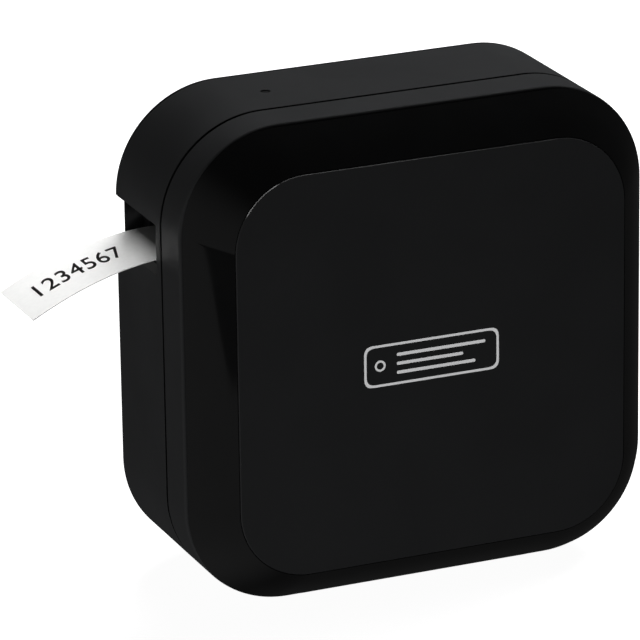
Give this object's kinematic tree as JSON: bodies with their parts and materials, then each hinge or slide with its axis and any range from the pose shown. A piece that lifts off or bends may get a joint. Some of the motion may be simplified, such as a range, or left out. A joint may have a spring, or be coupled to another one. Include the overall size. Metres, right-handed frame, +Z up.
{
  "type": "label maker",
  "caption": "Rounded square desktop label printer standing on edge, with a glossy bevelled front, a side slot feeding a white label and a hinged rear cassette cover.",
  "frame": {"origin": "middle of the body's underside, on the surface that the rubber feet stand on", "axes": "+Z up, front panel faces -Y, the label comes out towards -X"},
  "size_m": [0.1609, 0.067, 0.1275],
  "materials": {
    "case_matte": "fine moulded texture, charcoal",
    "gloss_black": "polished piano black",
    "panel_matte": "satin black",
    "rubber": "soft black rubber",
    "button_matte": "satin dark grey",
    "light_pipe": "smoked clear moulding",
    "steel": "bright sheet steel",
    "motor_can": "drawn steel can",
    "heat_sink": "plain pressed aluminium",
    "gear_plastic": "natural acetal",
    "inner_plastic": "black engineering plastic",
    "circuit_board": "green solder mask",
    "ceramic_head": null,
    "battery_wrap": "blue shrink wrap",
    "label_white": "laminated white tape",
    "cassette_grey": "light satin grey",
    "ribbon_black": "black ink film"
  },
  "bodies": {
    "chassis": {"rear_shell": "case_matte", "exit_guide": "inner_plastic", "front_shell": "case_matte", "front_bezel": "gloss_black", "front_panel": "panel_matte", "cover_hinge_pin_1": "steel", "cover_hinge_pin_2": "steel", "front_foot": "rubber", "rear_foot": "rubber", "status_light_pipe": "light_pipe", "power_switch": "inner_plastic", "feed_switch": "inner_plastic", "side_board": "circuit_board", "charging_socket": "steel", "main_board": "circuit_board", "wireless_module": "heat_sink", "processor_chip": "inner_plastic", "battery_pack": "battery_wrap", "engine_plate": "inner_plastic", "case_screw_1": "steel", "case_screw_2": "steel", "case_screw_3": "steel", "case_screw_4": "steel", "feed_motor": "motor_can", "platen_bush": "steel", "roller_bracket": "inner_plastic", "print_head": "ceramic_head", "head_heat_sink": "heat_sink", "fixed_blade": "steel", "cutter_motor": "motor_can", "label_strip": "label_white", "tape_tail": "label_white", "cassette_base": "cassette_grey", "cassette_lid": "cassette_grey"},
    "cover": {"cover_shell": "case_matte"},
    "cover_catch": {"cover_latch": "button_matte"},
    "power_key": {"power_button": "button_matte"},
    "feed_key": {"feed_button": "button_matte"},
    "motor_shaft": {"motor_pinion": "gear_plastic"},
    "idler": {"idler_gear": "gear_plastic"},
    "platen": {"platen_roller": "rubber", "platen_gear": "gear_plastic"},
    "take_up": {"take_up_gear": "gear_plastic", "ribbon_take_up_roll": "ribbon_black"},
    "tape_supply": {"tape_roll": "label_white"},
    "ribbon_supply": {"ribbon_supply_roll": "ribbon_black"},
    "blade": {"moving_blade": "steel"},
    "blade_pinion": {"cutter_pinion": "gear_plastic"}
  },
  "joints": [
    {"name": "cover_hinge", "type": "hinge", "parent": "chassis", "child": "cover", "pos_m": [0.0622, 0.0234, 0], "axis": [0, 0, -1], "range_deg": [0, 110]},
    {"name": "cover_catch_slide", "type": "slide", "parent": "cover", "child": "cover_catch", "axis": [1, 0, 0], "range_m": [0, 0.003], "stiffness_N_per_m": 400, "springref_m": -0.001},
    {"name": "power_button_press", "type": "slide", "parent": "chassis", "child": "power_key", "axis": [-1, 0, 0], "range_m": [0, 0.0008], "stiffness_N_per_m": 1500, "springref_m": -0.0004},
    {"name": "feed_button_press", "type": "slide", "parent": "chassis", "child": "feed_key", "axis": [-1, 0, 0], "range_m": [0, 0.0008], "stiffness_N_per_m": 1500, "springref_m": -0.0004},
    {"name": "tape_supply_spin", "type": "hinge", "parent": "chassis", "child": "tape_supply", "pos_m": [0.014, 0, 0.069], "axis": [0, -1, 0], "continuous": true},
    {"name": "platen_spin", "type": "hinge", "parent": "chassis", "child": "platen", "pos_m": [-0.04, 0, 0.08595], "axis": [0, -1, 0], "continuous": true},
    {"name": "idler_spin", "type": "hinge", "parent": "chassis", "child": "idler", "pos_m": [-0.02755, 0, 0.0735], "axis": [0, -1, 0], "continuous": true},
    {"name": "motor_spin", "type": "hinge", "parent": "chassis", "child": "motor_shaft", "pos_m": [-0.0118, 0, 0.07073], "axis": [0, -1, 0], "continuous": true},
    {"name": "take_up_spin", "type": "hinge", "parent": "chassis", "child": "take_up", "pos_m": [-0.02217, 0, 0.05341], "axis": [0, -1, 0], "continuous": true},
    {"name": "ribbon_supply_spin", "type": "hinge", "parent": "chassis", "child": "ribbon_supply", "pos_m": [-0.004, 0, 0.041], "axis": [0, -1, 0], "continuous": true},
    {"name": "cutter_blade_slide", "type": "slide", "parent": "chassis", "child": "blade", "axis": [0, 0, -1], "range_m": [0, 0.0045]},
    {"name": "cutter_pinion_spin", "type": "hinge", "parent": "chassis", "child": "blade_pinion", "pos_m": [-0.0424, 0, 0.1015], "axis": [0, -1, 0], "range_deg": [0, 46.2]}
  ],
  "couplings": [
    {"joint": "platen_spin", "follows": "tape_supply_spin", "ratio": 5.375},
    {"joint": "idler_spin", "follows": "tape_supply_spin", "ratio": -4.4792},
    {"joint": "motor_spin", "follows": "tape_supply_spin", "ratio": 6.7188},
    {"joint": "take_up_spin", "follows": "tape_supply_spin", "ratio": 3.8393},
    {"joint": "ribbon_supply_spin", "follows": "tape_supply_spin", "ratio": 2.6875},
    {"joint": "cutter_pinion_spin", "follows": "cutter_blade_slide", "rad_per_m": 178.57}
  ]
}
